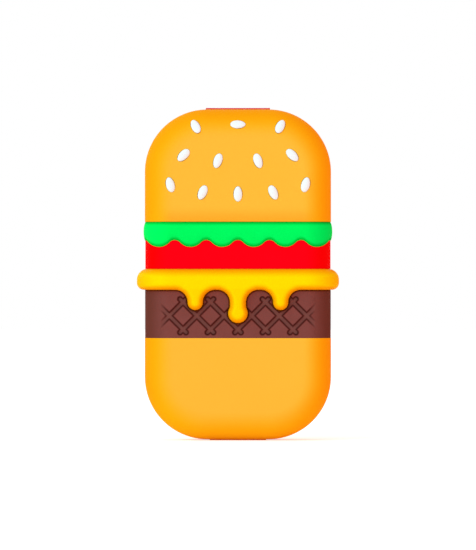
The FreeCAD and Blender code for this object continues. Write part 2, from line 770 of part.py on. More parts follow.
base_screws = [screw(x, z, screw_seat, screw_seat - base_screw_length) for x, z in post_places]
save("base_screws", Part.Compound(base_screws))

# Keys in rows of three from the bottom up: a function row over the numbers
key_names = ["key_star", "key_0", "key_hash", "key_7", "key_8", "key_9", "key_4", "key_5", "key_6",
             "key_1", "key_2", "key_3", "key_flash", "key_redial", "key_mute"]
key_tip = panel_y - key_rise
keys = []
for i, name in enumerate(key_names):
    row = i // key_columns
    column = i % key_columns - (key_columns - 1) / 2
    tall = function_key_height if row == key_rows - 1 else key_height
    corner = min(key_corner, tall / 2 - key_round / 4)
    keys.append((name, key_pitch_x * column, keypad_height + key_pitch_z * row, tall, corner))
for name, x, z, tall, corner in keys:
    cap = rounded_plate(key_width, tall, corner, x, z, key_tip, flange_y + flange_thickness)
    cap = cap.makeFillet(key_round, edges_on_y(cap, key_tip))
    flange = rounded_plate(key_width + 2 * flange_margin, tall + 2 * flange_margin, corner + flange_margin,
                           x, z, flange_y, flange_y + flange_thickness)
    save(name, union([cap, flange]))

# Keypad panel: key openings, hook and microphone holes, posts that the board sits on
keypad = panel_outline(panel_y, panel_back).common(box(-reach, reach, -reach, reach, -reach, panel_top))
post_end = base_hollow_y - rest_gap
steps = [rod_y(post_radius, x, z, panel_back, board_y) for x, z in post_places]
stems = [rod_y(stem_radius, x, z, panel_back, post_end) for x, z in post_places]
cup_radius = mic_radius + boot_wall + fit_gap
cup_end = panel_back + mic_cup_depth
mic_cup = rod_y(cup_radius + tray_wall, 0, mic_height, panel_back, cup_end)
mic_cup = mic_cup.cut(rod_y(cup_radius, 0, mic_height, panel_back, cup_end))
keypad = union([keypad, mic_cup] + steps + stems)
openings = []
for name, x, z, tall, corner in keys:
    openings.append(rounded_plate(key_width + 2 * key_gap, tall + 2 * key_gap, corner + key_gap,
                                  x, z, panel_y, panel_back))
openings.append(rod_y(hook_radius + hook_fit, 0, hook_height, panel_y, panel_back))
openings += hole_ring(0, mic_height, mic_hole_radius, mic_hole_pitch, 1, panel_y, panel_back)
openings += [rod_y(pilot_radius, x, z, board_y, post_end) for x, z in post_places]
save("keypad_panel", keypad.cut(openings))

# Rubber dome mat and circuit board behind the keys
mat_low = keypad_height - key_height / 2 - flange_margin
mat_high = panel_top - keys_below_top + function_key_height / 2 + flange_margin
mat_width = body_width - 2 * key_side_band + 2 * flange_margin
mat = rounded_plate(mat_width, mat_high - mat_low, key_corner, 0, (mat_low + mat_high) / 2, mat_y, board_y)
domes = []
for name, x, z, tall, corner in keys:
    domes.append(Part.makeCone(dome_tip_radius, dome_radius, dome_height, V(x, dome_y, z), V(0, 1, 0)))
save("key_mat", union([mat] + domes))
board_top = panel_top - board_top_gap
board_width = body_width - 2 * hollow_inset - 2 * board_margin
board = rounded_plate(board_width, board_top - board_bottom, board_corner, 0, (board_top + board_bottom) / 2,
                      board_y, board_back)
board = board.cut([rod_y(stem_radius + fit_gap, x, z, board_y, board_back) for x, z in post_places])
save("main_board", board)


def board_block(x, width, height, thickness):
    """A square-cornered part on the board's rear, level with the other parts of its row."""
    return box(x - width / 2, x + width / 2, board_back, board_back + thickness,
               parts_z - height / 2, parts_z + height / 2)


parts_z = board_top - parts_drop
chip = board_block(0, chip_width, chip_height, chip_thickness)
relay = board_block(relay_x, relay_width, relay_height, relay_thickness)
crystal = board_block(crystal_x, crystal_width, crystal_height, crystal_thickness)
can_z = board_top - can_drop
can_places = (-2 * can_spacing, -can_spacing, 2 * can_spacing)
cans = [rod_y(can_radius, x, can_z, board_back, board_back + can_length) for x in can_places]
save("board_parts", Part.Compound([chip, relay, crystal] + cans))

# Hook switch and the plunger that the closed lid holds in
hook_flange_y = panel_back + hook_travel + rest_gap
hook_tip = lid_panel_y + 2 * fit_gap
hook_back = hook_flange_y + flange_thickness
plunger = rod_y(hook_radius, 0, hook_height, hook_tip, hook_back)
plunger = plunger.makeFillet(hook_tip_round, edges_on_y(plunger, hook_tip))
stop_ring = rod_y(hook_radius + hook_flange, 0, hook_height, hook_flange_y, hook_back)
save("hook_plunger", union([plunger, stop_ring]))
hook_switch = box(-hook_switch_width / 2, hook_switch_width / 2, hook_back + rest_gap, board_y,
                  hook_height - hook_switch_height / 2, hook_height + hook_switch_height / 2)
save("hook_switch", hook_switch)

# Microphone in its rubber boot
mic_y = panel_back + rest_gap
boot = rod_y(mic_radius + boot_wall, 0, mic_height, mic_y, mic_y + mic_length)
save("microphone_boot", boot.cut(rod_y(mic_radius + rest_gap, 0, mic_height, mic_y, mic_y + mic_length)))
save("microphone", rod_y(mic_radius, 0, mic_height, mic_y + rest_gap, mic_y + mic_length + mic_proud))

# Ringer disc in the chassis' cup
save("ringer", rod_y(ringer_radius, 0, patty_middle, base_hollow_y - ringer_thickness, base_hollow_y))

# Line jack through the rear bun, and its sprung contacts
bore_bottom = jack_height - jack_bore_rise / 2
bore_top = jack_height + jack_bore_rise / 2
bore_end = board_back + jack_end_wall
jack = box(-jack_width / 2, jack_width / 2, board_back, jack_face,
           jack_height - jack_rise / 2, jack_height + jack_rise / 2)
bore = box(-jack_bore_width / 2, jack_bore_width / 2, bore_end, jack_face, bore_bottom, bore_top)
latch = box(-latch_width / 2, latch_width / 2, bore_end, jack_face, bore_top, bore_top + latch_rise)
save("line_jack", jack.cut([bore, latch]))
contacts = []
for i in range(contact_count):
    contact_x = contact_pitch * (i - (contact_count - 1) / 2)
    start = V(contact_x, bore_end + 2 * rest_gap, bore_bottom + contact_root)
    run = V(0, contact_length, -contact_fall)
    contacts.append(Part.makeCylinder(contact_radius, run.Length, start, run))
save("jack_contacts", Part.Compound(contacts))

# Tone switch at the rear and ringer switch at the side, each a body with a sliding knob
tone_body = box(tone_x - slot_length / 2 - tray_wall, tone_x + slot_length / 2 + tray_wall,
                base_hollow_y - switch_depth, base_hollow_y,
                tone_height - slot_width / 2 - tray_wall / 2, tone_height + slot_width / 2 + tray_wall / 2)
tone_floor = base_hollow_y - switch_depth + tray_wall
tone_bay = box(tone_x - slot_length / 2, tone_x + slot_length / 2, tone_floor, base_hollow_y,
               tone_height - slot_width / 2, tone_height + slot_width / 2)
save("tone_switch", tone_body.cut(tone_bay))
tone_left = tone_x - slot_length / 2 + knob_gap
save("tone_knob", box(tone_left, tone_left + knob_length, tone_floor + 2 * fit_gap, base_depth + knob_proud,
                      tone_height - knob_width / 2, tone_height + knob_width / 2))
ringer_rear = ringer_knob_y + slot_width / 2 + tray_wall / 2
corner_round = barrel_radius - hollow_inset
past_flat = max(ringer_rear - hinge_y, 0)
corner_fall = corner_round - math.sqrt(corner_round ** 2 - past_flat ** 2)
side_x = body_width / 2 - hollow_inset - corner_fall - rest_gap
ringer_body = box(side_x - switch_depth, side_x, board_back, ringer_rear,
                  patty_middle - slot_length / 2 - tray_wall, patty_middle + slot_length / 2 + tray_wall)
ringer_floor = side_x - switch_depth + tray_wall
ringer_bay = box(ringer_floor, side_x, ringer_knob_y - slot_width / 2, ringer_knob_y + slot_width / 2,
                 patty_middle - slot_length / 2, patty_middle + slot_length / 2)
save("ringer_switch", ringer_body.cut(ringer_bay))
ringer_top = patty_middle + slot_length / 2 - knob_gap
save("ringer_knob", box(ringer_floor + 2 * fit_gap, body_width / 2 - patty_inset - side_knob_sink,
                        ringer_knob_y - knob_width / 2, ringer_knob_y + knob_width / 2,
                        ringer_top - knob_length, ringer_top))
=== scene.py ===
import math

import bpy
import numpy as np
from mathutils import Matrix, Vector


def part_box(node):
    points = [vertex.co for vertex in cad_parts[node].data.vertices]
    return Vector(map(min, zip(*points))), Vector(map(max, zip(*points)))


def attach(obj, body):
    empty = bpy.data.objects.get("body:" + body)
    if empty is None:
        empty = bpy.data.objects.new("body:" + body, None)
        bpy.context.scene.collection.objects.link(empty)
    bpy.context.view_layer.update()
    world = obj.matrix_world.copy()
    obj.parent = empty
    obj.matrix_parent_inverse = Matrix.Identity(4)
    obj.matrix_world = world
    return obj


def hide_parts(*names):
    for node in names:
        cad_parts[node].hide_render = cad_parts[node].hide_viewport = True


# A burger-shaped flip telephone, dressed piece by piece in the order it is put together.
# All lengths are in metres, in the frame's own axes: the lid's front looks along -Y.
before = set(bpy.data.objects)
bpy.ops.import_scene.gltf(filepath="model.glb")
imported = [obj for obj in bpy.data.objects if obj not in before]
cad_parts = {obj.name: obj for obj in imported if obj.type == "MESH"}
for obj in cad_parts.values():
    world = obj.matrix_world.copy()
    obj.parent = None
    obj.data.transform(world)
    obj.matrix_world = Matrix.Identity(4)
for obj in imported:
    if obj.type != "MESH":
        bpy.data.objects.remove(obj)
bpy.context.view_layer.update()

# Trays
# Two moulded trays carry everything: one inside the lid, one inside the base, with the hinge ears.
# They are raw ABS, grey-cream as it comes out of the mould; the skins are pegged on from outside.


class Shade:
    """One socket of a node tree. Signs and comparisons on it add Math nodes, so shading reads as sums."""

    def __init__(self, tree, socket=None):
        self.tree = tree
        self.socket = socket

    def fill(self, node, values):
        """Sets each named socket of a node to a value, or links it to another Shade."""
        for name, value in values.items():
            if isinstance(value, Shade):
                self.tree.links.new(value.socket, node.inputs[name])
            else:
                node.inputs[name].default_value = value

    def node(self, kind, settings, values, output=0):
        """Adds a node of a kind: its settings first, then the values or links of its sockets."""
        made = self.tree.nodes.new(kind)
        for name, value in settings.items():
            setattr(made, name, value)
        self.fill(made, values)
        return Shade(self.tree, made.outputs[output])

    def also(self, output):
        """Another output of the same node."""
        return Shade(self.tree, self.socket.node.outputs[output])

    def math(self, operation, *values):
        """Adds a Math node on the values."""
        return self.node("ShaderNodeMath", {"operation": operation}, dict(enumerate(values)))

    def __add__(self, other):
        return self.math("ADD", self, other)

    def __radd__(self, other):
        return self.math("ADD", other, self)

    def __sub__(self, other):
        return self.math("SUBTRACT", self, other)

    def __rsub__(self, other):
        return self.math("SUBTRACT", other, self)

    def __mul__(self, other):
        return self.math("MULTIPLY", self, other)

    def __rmul__(self, other):
        return self.math("MULTIPLY", other, self)

    def __truediv__(self, other):
        return self.math("DIVIDE", self, other)

    def __rtruediv__(self, other):
        return self.math("DIVIDE", other, self)

    def __abs__(self):
        return self.math("ABSOLUTE", self)

    def most(self, other):
        return self.math("MAXIMUM", self, other)

    def least(self, other):
        return self.math("MINIMUM", self, other)

    def root(self):
        return self.math("SQRT", self)

    def wrap(self, high, low):
        """The value carried round into the range from low to high."""
        return self.math("WRAP", self, high, low)

    def rise(self, low, high):
        """A smooth step from 0 at low to 1 at high."""
        return self.node("ShaderNodeMapRange", {"interpolation_type": "SMOOTHSTEP"},
                         {"Value": self, "From Min": low, "From Max": high})


def srgb(red, green, blue):
    """A colour named in 0 to 255 display levels, as the linear RGBA that sockets take."""
    level = np.array([red, green, blue]) / 255
    linear = np.where(level <= 0.04045, level / 12.92, ((level + 0.055) / 1.055) ** 2.4)
    return (*linear.tolist(), 1.0)


def mixed(amount, first, second):
    """A colour on the way from the first to the second, which are a Mix node's sockets 6 and 7."""
    return amount.node("ShaderNodeMix", {"data_type": "RGBA"}, {0: amount, 6: first, 7: second}, 2)


def place(start):
    """The point's x, y and z in the frame, as the piece stands at rest."""
    point = start.node("ShaderNodeTexCoord", {}, {}, "Object")
    x = start.node("ShaderNodeSeparateXYZ", {}, {"Vector": point})
    return x, x.also("Y"), x.also("Z")


def cloud(start, size, detail=2.0):
    """Soft noise from 0 to 1, with patches of about the given size."""
    point = start.node("ShaderNodeTexCoord", {}, {}, "Object")
    return start.node("ShaderNodeTexNoise", {}, {"Vector": point, "Scale": 1 / size, "Detail": detail})


def dented(start, height, depth):
    """A normal that is bumped by a height from 0 to 1, depth deep."""
    return start.node("ShaderNodeBump", {}, {"Height": height, "Distance": depth})


def grained(start, size, depth, rough, spread):
    """A fine grain of specks: they dent the normal, and the roughness goes up and down with them."""
    speck = cloud(start, size)
    return {"Roughness": rough + spread * (speck - 0.5), "Normal": dented(start, speck, depth)}


def finish(name, paint, fixed):
    """A material: paint(start) gives the sockets that vary, and fixed the ones that don't."""
    material = bpy.data.materials.new(name)
    material.use_nodes = True
    start = Shade(material.node_tree)
    start.fill(material.node_tree.nodes["Principled BSDF"], {**fixed, **paint(start)})
    return material


def moulded(name, colour, shade, grain, depth, rough, gloss=0.3):
    """A moulded plastic that drifts from its colour to a shade in soft patches, with a fine dented grain."""
    patch = 0.012
    spread = 0.12

    def paint(start):
        drift = mixed(cloud(start, patch), colour, shade)
        return {"Base Color": drift, **grained(start, grain, depth, rough, spread)}

    return finish(name, paint, {"Specular IOR Level": gloss})


def dress(material, *names):
    """Gives a finish to CAD nodes."""
    for name in names:
        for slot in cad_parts[name].material_slots:
            slot.material = material


tray_resin = moulded("tray_resin", srgb(204, 190, 165), srgb(190, 174, 148),
                     grain=0.0006, depth=0.00003, rough=0.55)
dress(tray_resin, "base_chassis", "lid_carrier")

# Ringer, line jack and contacts
# The ringer is a thin brass disc that a coating makes sing; it lies in a cup at the chassis' rear.
# The jack is a black moulded socket on the board with four sprung wires for a modular plug.


def metal(name, colour, tarnish, rough):
    """A bare metal with faint tarnish in patches and fine rubbed scratches."""
    patch = 0.004
    scratch = 0.0003
    scratch_depth = 0.000004
    spread = 0.2

    def paint(start):
        dulled = mixed(cloud(start, patch), colour, tarnish)
        return {"Base Color": dulled, **grained(start, scratch, scratch_depth, rough, spread)}

    return finish(name, paint, {"Metallic": 1.0})


disc_brass = metal("disc_brass", srgb(232, 202, 137), srgb(205, 168, 100), rough=0.3)
dress(disc_brass, "ringer", "jack_contacts")
jack_black = moulded("jack_black", srgb(48, 48, 50), srgb(40, 40, 42),
                     grain=0.0004, depth=0.00002, rough=0.42)
dress(jack_black, "line_jack")

# Slide switches
# Two small black bodies stand behind slots in the skins: tone or pulse at the rear, ringer at the side.
# Each carries a dark knob with ridges across it for a fingertip.
ridge_pitch = 0.0009
ridge_depth = 0.00018
ridge_crest = 0.6
valley_shade_grey = srgb(70, 68, 68)
knob_crest = srgb(98, 96, 95)
knob_rough = 0.4
knob_wear = 0.15
knob_grain = 0.0004
knob_gloss = 0.35


def ridged(name, axis):
    """Grey resin under ridges: a sine wave along the axis that the knob slides on, 0 for x and 2 for z, with
    painted shade in the valleys.
    """

    def paint(start):
        # Painted shade: the colour darkens in the valleys between the bumped ridges.
        phase = place(start)[axis] * (2 * math.pi / ridge_pitch)
        wave = phase.math("SINE", phase)
        return {
            "Base Color": mixed(wave.rise(-1.0, ridge_crest), valley_shade_grey, knob_crest),
            "Roughness": knob_rough + knob_wear * cloud(start, knob_grain),
            "Normal": dented(start, wave * 0.5 + 0.5, ridge_depth),
        }

    return finish(name, paint, {"Specular IOR Level": knob_gloss})


dress(jack_black, "tone_switch", "ringer_switch")
dress(ridged("tone_knob_grey", 0), "tone_knob")
dress(ridged("ringer_knob_grey", 2), "ringer_knob")

# Circuit board and hook switch
# A green lacquered board sits on the keypad panel's posts and carries the chip, relay, crystal and
# capacitors. The lacquer shows the copper tracks under it as a paler green.
track_pitch = 0.0016
track_half = 0.18 * track_pitch
lacquer_half = 0.24 * track_pitch
track_height = 0.00004
track_patch = 0.014
patch_blur = 0.02
lacquer_green = srgb(22, 92, 52)
track_green = srgb(52, 132, 74)
lacquer_rough = 0.32
lacquer_wear = 0.1
lacquer_grain = 0.0008


def board_paint(start):
    """Tracks as stripes across x or z, chosen by soft patches, under green lacquer."""
    x, _, z = place(start)
    across = abs(x.wrap(track_pitch / 2, -track_pitch / 2))
    along = abs(z.wrap(track_pitch / 2, -track_pitch / 2))
    turn = cloud(start, track_patch, detail=0.0).rise(0.5 - patch_blur, 0.5 + patch_blur)
    track = 1 - (across * turn + along * (1 - turn)).rise(track_half, lacquer_half)
    return {
        "Base Color": mixed(track, lacquer_green, track_green),
        "Roughness": lacquer_rough + lacquer_wear * cloud(start, lacquer_grain),
        "Normal": dented(start, track, track_height),
    }


dress(finish("board_lacquer", board_paint, {}), "main_board")
dress(jack_black, "board_parts", "hook_switch")

# Microphone
# A small aluminium capsule in a black rubber boot, behind the seven holes at the chin of the keypad panel.
# The boot keeps the sound of the casing away from it.
capsule_metal = metal("capsule_metal", srgb(216, 217, 219), srgb(190, 192, 196), rough=0.35)
dress(capsule_metal, "microphone")
black_rubber = moulded("black_rubber", srgb(52, 52, 54), srgb(42, 42, 44),
                       grain=0.0003, depth=0.00003, rough=0.8, gloss=0.2)
dress(black_rubber, "microphone_boot")

# Key mat
# One sheet of grey silicone with a dome behind each key; a pressed dome closes a contact on the board.
# It is soft and matt, and lies on the board's front.
mat_silicone = moulded("mat_silicone", srgb(196, 196, 198), srgb(182, 183, 186),
                       grain=0.0005, depth=0.00002, rough=0.6)
dress(mat_silicone, "key_mat")

# Keys
# Fifteen moulded caps come up through the panel from behind: twelve white ones and three red ones.
# Their signs are pad printed: a thin film of ink on the middle of each cap.
number_keys = {
    "key_1": "1", "key_2": "2", "key_3": "3",
    "key_4": "4", "key_5": "5", "key_6": "6",
    "key_7": "7", "key_8": "8", "key_9": "9",
    "key_star": "*", "key_0": "0", "key_hash": "#",
}
function_keys = {"key_flash": "FLASH", "key_redial": "REDIAL", "key_mute": "MUTE"}
number_height = 0.0050
star_height = 0.0034
word_height = 0.0019
ink_film = 0.00003
ink_sunk = 0.0001
drawn_thickness = 0.01
cap_polish = {"grain": 0.0005, "depth": 0.00001, "rough": 0.36, "gloss": 0.45}
dry_ink = {"grain": 0.0002, "depth": 0.000005, "rough": 0.5}

key_white = moulded("key_white", srgb(249, 246, 240), srgb(240, 236, 228), **cap_polish)
key_red = moulded("key_red", srgb(228, 58, 50), srgb(214, 46, 40), **cap_polish)
dress(key_white, *number_keys)
dress(key_red, *function_keys)
black_ink = moulded("black_ink", srgb(52, 44, 42), srgb(44, 37, 36), **dry_ink)
white_ink = moulded("white_ink", srgb(250, 246, 238), srgb(241, 236, 226), **dry_ink)


def printed(key, sign, height, ink):
    """A sign as a film on a key's face: letters drawn flat, scaled to height, stood up along +Z."""
    letters = bpy.data.curves.new(key + "_print", "FONT")
    letters.body = sign
    letters.extrude = drawn_thickness
    drawn = bpy.data.objects.new(key + "_letters", letters)
    bpy.context.scene.collection.objects.link(drawn)
    mesh = bpy.data.meshes.new_from_object(drawn.evaluated_get(bpy.context.evaluated_depsgraph_get()))
    bpy.data.objects.remove(drawn)
    points = np.empty((len(mesh.vertices), 3), np.float32)
    mesh.vertices.foreach_get("co", points.ravel())
    low = points.min(0)
    high = points.max(0)
    flat = (points - (low + high) / 2) * (height / (high[1] - low[1]))
    key_low, key_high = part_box(key)
    middle = (key_low + key_high) / 2
    face = np.where(flat[:, 2] > 0, key_low.y - ink_film, key_low.y + ink_sunk)
    upright = np.column_stack([middle.x + flat[:, 0], face, middle.z + flat[:, 1]])
    mesh.vertices.foreach_set("co", upright.astype(np.float32).ravel())
    mesh.materials.clear()
    mesh.materials.append(ink)
    mesh.update()
    piece = bpy.data.objects.new(key + "_print", mesh)
    bpy.context.scene.collection.objects.link(piece)
    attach(piece, key)
    "component" if ink == black_ink else "key"


for key, sign in number_keys.items():
    printed(key, sign, star_height if sign == "*" else number_height, black_ink)
for key, sign in function_keys.items():
    printed(key, sign, word_height, white_ink)

# Inner panels
# The keypad panel closes the base and the lid's inner panel closes the lid, round the earpiece dish.
# Both are cream ABS from spark-worn moulds, so they have an even, fine matt grain.
panel_cream = moulded("panel_cream", srgb(247, 228, 188), srgb(240, 218, 174),
                      grain=0.00035, depth=0.00004, rough=0.62)
dress(panel_cream, "keypad_panel", "lid_inner_panel")

# Lip of the lid's panel
# A low cream rib round the panel's two sides and its foot, moulded with it, that closes the split to light.
# Below the hinge barrel it reaches into the keypad's well; beside the barrel it stays just clear of it.
lip_width = 0.0010
lip_round = 0.0003
lip_sunk = 0.00005
lip_into_well = 0.0002
lip_clear = 0.00015
lip_end_gap = 0.020
lip_step = 0.003
lip_round_steps = 6
panel_corner = 0.02415
corner_steps = 25
end_steps = 9
face_steps = 90
crease = math.radians(35)


def half_outline(half, depth, edge):
    """Points and outward normals along a U of half width half, from its right end to its left end.

    Its ends are at 0 and its face at -depth, with a rounded corner of radius edge at each side.
    """
    turn = np.linspace(0, np.pi / 2, corner_steps)
    run = np.linspace(0, depth - edge, end_steps)[:-1]
    corner_x = half - edge + edge * np.cos(turn)
    corner_y = edge - depth - edge * np.sin(turn)
    across = np.linspace(half - edge, 0, face_steps)[1:]
    x = np.concatenate([np.full(run.size, half), corner_x, across])
    y = np.concatenate([-run, corner_y, np.full(across.size, -depth)])
    out_x = np.concatenate([np.ones(run.size), np.cos(turn), np.zeros(across.size)])
    out_y = np.concatenate([np.zeros(run.size), -np.sin(turn), -np.ones(across.size)])
    mirror = slice(-2, None, -1)
    return (np.concatenate([x, -x[mirror]]), np.concatenate([y, y[mirror]]),
            np.concatenate([out_x, -out_x[mirror]]), np.concatenate([out_y, out_y[mirror]]))


def ring_quads(rings, points):
    """Quads between neighbouring rings, each a closed round of points that follow one another."""
    ring = np.arange(rings - 1)[:, None] * points
    here = ring + np.arange(points)
    after = ring + (np.arange(points) + 1) % points
    return np.stack([here, after, after + points, here + points], -1).reshape(-1, 4)


def swept(name, points):
    """A closed mesh from points[station, step]: each station is a ring, and the two end rings are capped."""
    stations, steps = points.shape[:2]
    step = np.arange(steps)
    ends = [step[::-1].tolist(), ((stations - 1) * steps + step).tolist()]
    mesh = bpy.data.meshes.new(name)
    mesh.from_pydata(points.reshape(-1, 3), [], ring_quads(stations, steps).tolist() + ends)
    mesh.shade_smooth()
    mesh.set_sharp_from_angle(angle=crease)
    return mesh


def lip_points():
    """The rib's section, a bar with two round corners, carried down one side, along the foot and up again.

    At each point of the U, a step of the section lies inset from the panel's edge and a share of the way
    from the panel to the tip. The tip falls from the well to the barrel by a smooth step in height.
    """
    low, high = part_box("lid_inner_panel")
    well_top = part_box("keypad_panel")[1].z
    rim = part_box("rear_bottom_bun")[0].y
    top = high.z - lip_end_gap
    x, drop, out_x, out_z = half_outline(high.x, top - low.z, panel_corner)
    z = (top + drop)[:, None]
    share = ((z - well_top + 2 * lip_step) / lip_step).clip(0, 1)
    share = share * share * (3 - 2 * share)
    tip = rim + lip_into_well - (lip_into_well + lip_clear) * share
    turn = np.linspace(0, np.pi / 2, lip_round_steps)
    inset = np.concatenate([[lip_width], lip_width - lip_round * (1 - np.cos(turn)),
                            lip_round * (1 - np.sin(turn)), [0]])
    below_tip = np.concatenate([lip_round * (1 - np.sin(turn)), lip_round * (1 - np.cos(turn))])
    foot = np.full_like(z, high.y - lip_sunk)
    y = np.hstack([foot, tip - below_tip, foot])
    return np.stack([x[:, None] - out_x[:, None] * inset, y, z - out_z[:, None] * inset], -1)


lip = bpy.data.objects.new("panel_lip", swept("panel_lip", lip_points()))
lip.data.materials.append(panel_cream)
bpy.context.scene.collection.objects.link(lip)
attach(lip, "lid")

# Bumpers
# Two short rubber stops on the lid's inner panel, near its foot.
# They meet the keypad panel as the phone is shut, so that the halves close softly.
dress(black_rubber, "lid_bumpers")

# Hook plunger
# A dark nylon pin that slides in a hole of the keypad panel, in front of the hook switch.
# The closed lid holds it in; it comes out as the lid lifts and takes the line.
plunger_nylon = moulded("plunger_nylon", srgb(92, 88, 86), srgb(80, 77, 76),
                        grain=0.0004, depth=0.00001, rough=0.38)
dress(plunger_nylon, "hook_plunger")

# Earpiece
# A black loudspeaker in the cup of the lid's panel, behind the dish with the holes.
# A ring of open-celled foam lies between the two and seals the sound to the holes.
foam_cell = 0.0006
foam_depth = 0.0001
foam_cell_shade = srgb(34, 34, 36)
foam_grey = srgb(70, 70, 73)
cell_shade_until = 0.1
grey_from = 0.6
foam_rough = 0.8
foam_spread = 0.15
foam_gloss = 0.1


def foam_paint(start):
    """Open cells: bubbles of a Voronoi pattern, with painted shade dark in their hollow middles."""
    point = start.node("ShaderNodeTexCoord", {}, {}, "Object")
    # Painted shade: each cell is darker in its middle, where the hollow lies.
    cell = start.node("ShaderNodeTexVoronoi", {}, {"Vector": point, "Scale": 1 / foam_cell})
    return {
        "Base Color": mixed(cell.rise(cell_shade_until, grey_from), foam_cell_shade, foam_grey),
        "Roughness": foam_rough + foam_spread * cell,
        "Normal": dented(start, cell, foam_depth),
    }


dress(finish("ring_foam", foam_paint, {"Specular IOR Level": foam_gloss}), "earpiece_gasket")
speaker_black = moulded("speaker_black", srgb(66, 66, 68), srgb(52, 52, 55),
                        grain=0.0005, depth=0.00003, rough=0.5)
dress(speaker_black, "earpiece_speaker")

# Hinge knuckle
# A red moulded drum turns on two steel pins in the base's ears; its leaf is screwed inside the lid.
# It stands just above the top bun, where it shows as a thin red line.
knuckle_red = moulded("knuckle_red", srgb(228, 22, 16), srgb(218, 17, 12),
                      grain=0.0004, depth=0.00001, rough=0.5, gloss=0.02)
dress(knuckle_red, "hinge_knuckle")

# Screws and hinge pins
# Plain zinc-plated steel. Long screws from the rear hold the base together, two on each side.
# Short ones hold the lid's panel and the hinge leaf, and the pins run from the ears into the drum.
plated_steel = metal("plated_steel", srgb(208, 208, 210), srgb(180, 181, 185), rough=0.3)
dress(plated_steel, "base_screws", "lid_screws", "hinge_screws", "hinge_pins")

# Buns
# Soft-touch moulded skins, one pair at the top and one at the bottom, pegged onto the trays.
# They are crumb orange, with painted shade that deepens them towards the rounded rim of the outline.
corner_radius = 0.0265
rim_shade_start = -0.001
rim_shade_reach = 0.013
rim_yellow_start = 0.003
rim_yellow_reach = 0.0125
seam_shade_reach = 0.007
underside = 0.024
crumb_patch = 0.016
skin_grain = 0.0005
skin_dent = 0.00001
skin_spread = 0.1
bun_rough = 0.62
crumb = srgb(255, 193, 61)
crumb_warm = srgb(255, 191, 57)
seam_shade = srgb(255, 174, 42)
rim_shade_yellow = srgb(255, 190, 14)
rim_shade_orange = srgb(255, 165, 8)
outline_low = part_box("lid_bottom_bun")[0]
top_bun_low, outline_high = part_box("lid_top_bun")
half_width = outline_high.x
half_height = (outline_high.z - outline_low.z) / 2
outline_middle = (outline_high.z + outline_low.z) / 2


def rim_distance(x, z):
    """How far a point lies inside the front outline, a rectangle with round corners."""
    beside = abs(x) - (half_width - corner_radius)
    above = abs(z - outline_middle) - (half_height - corner_radius)
    out_beside = beside.most(0.0)
    out_above = above.most(0.0)
    corner = (out_beside * out_beside + out_above * out_above).root()
    return corner_radius - corner - beside.most(above).least(0.0)


def soft_skin(start, rough):
    """The fine grain that all the skins share, apart from the patty's."""
    return grained(start, skin_grain, skin_dent, rough, skin_spread)


def bun_paint(start):
    """Crumb in soft patches; towards the outline's rim painted shade turns it yellower, then deep orange.

    The painted rim shade fades out under the bottom bun, and painted shade deepens the crumb just above the
    leaf.
    """
    x, _, z = place(start)
    inside = rim_distance(x, z)
    # Painted shade: yellower, then deep orange near the rounded rim where the surface turns from the light,
    # and a little deeper at the seam above the leaf.
    rim_yellowing = 1 - inside.rise(rim_yellow_start, rim_yellow_reach)
    rim_shading = (1 - inside.rise(rim_shade_start, rim_shade_reach)) * z.rise(outline_low.z, outline_low.z + underside)
    seam_shading = 1 - abs(z - top_bun_low.z).rise(0.0, seam_shade_reach)
    crumb_and_seam_shade = mixed(seam_shading, mixed(cloud(start, crumb_patch), crumb, crumb_warm), seam_shade)
    return {"Base Color": mixed(rim_shading, mixed(rim_yellowing, crumb_and_seam_shade, rim_shade_yellow), rim_shade_orange), **soft_skin(start, bun_rough)}


matte = {"Specular IOR Level": 0.01}
bun_skin = finish("bun_skin", bun_paint, matte)
dress(bun_skin, "lid_top_bun", "lid_bottom_bun", "rear_top_bun", "rear_bottom_bun")

# Sesame seeds
# Twelve white kernels pressed into pockets of the top bun, plump on top and narrower at one end.
# Each is (x, drop below the bun's top, lean from the x axis); the outer ones come in mirrored pairs.
seed_length = 0.00645
seed_width = 0.0039
seed_rise = 0.0008
seed_sink = 0.0011
seed_taper = 0.14
edge_round = 0.011
right_seeds = [(0.0179, 0.00745, 65), (0.0230, 0.0196, -45), (0.0085, 0.0220, -71),
               (0.0286, 0.0321, 75), (0.01495, 0.0354, -66)]
middle_seeds = [(0.0, 0.00655, 0), (0.0, 0.0360, 90)]
seed_rings = 15
seed_points = 40
seed_white = srgb(245, 255, 255)
seed_pale = srgb(240, 252, 251)
seed_patch = 0.002
seed_gloss = 0.25


def seed_frames():
    """Where each seed sits on the bun, its outward normal and its two directions along the surface.

    In the outline's corner the surface falls off round the corner's middle; elsewhere round its nearest side.
    """
    rows = middle_seeds + right_seeds + [(-x, drop, 180 - lean) for x, drop, lean in right_seeds]
    x, drop, lean = np.array(rows, float).T
    z = outline_high.z - drop
    beside = np.abs(x) - (half_width - corner_radius)
    above = corner_radius - drop
    both = (beside > 0) & (above > 0)
    far = np.hypot(beside, above)
    inward = np.where(both, corner_radius - far, corner_radius - np.maximum(beside, above))
    out_x = np.where(both, beside / far, beside > above) * np.sign(x)
    out_z = np.where(both, above / far, beside <= above)
    tilt = np.maximum(edge_round - inward, 0) / edge_round
    level = np.sqrt(1 - tilt ** 2)
    middle = np.stack([x, top_bun_low.y + edge_round * (1 - level), z], 1)
    normal = np.stack([out_x * tilt, -level, out_z * tilt], 1)
    turn = np.radians(lean)
    along = np.stack([np.cos(turn), np.zeros_like(turn), np.sin(turn)], 1)
    along -= normal * np.sum(along * normal, 1, keepdims=True)
    along /= np.linalg.norm(along, axis=1, keepdims=True)
    return middle, along, np.cross(normal, along), normal


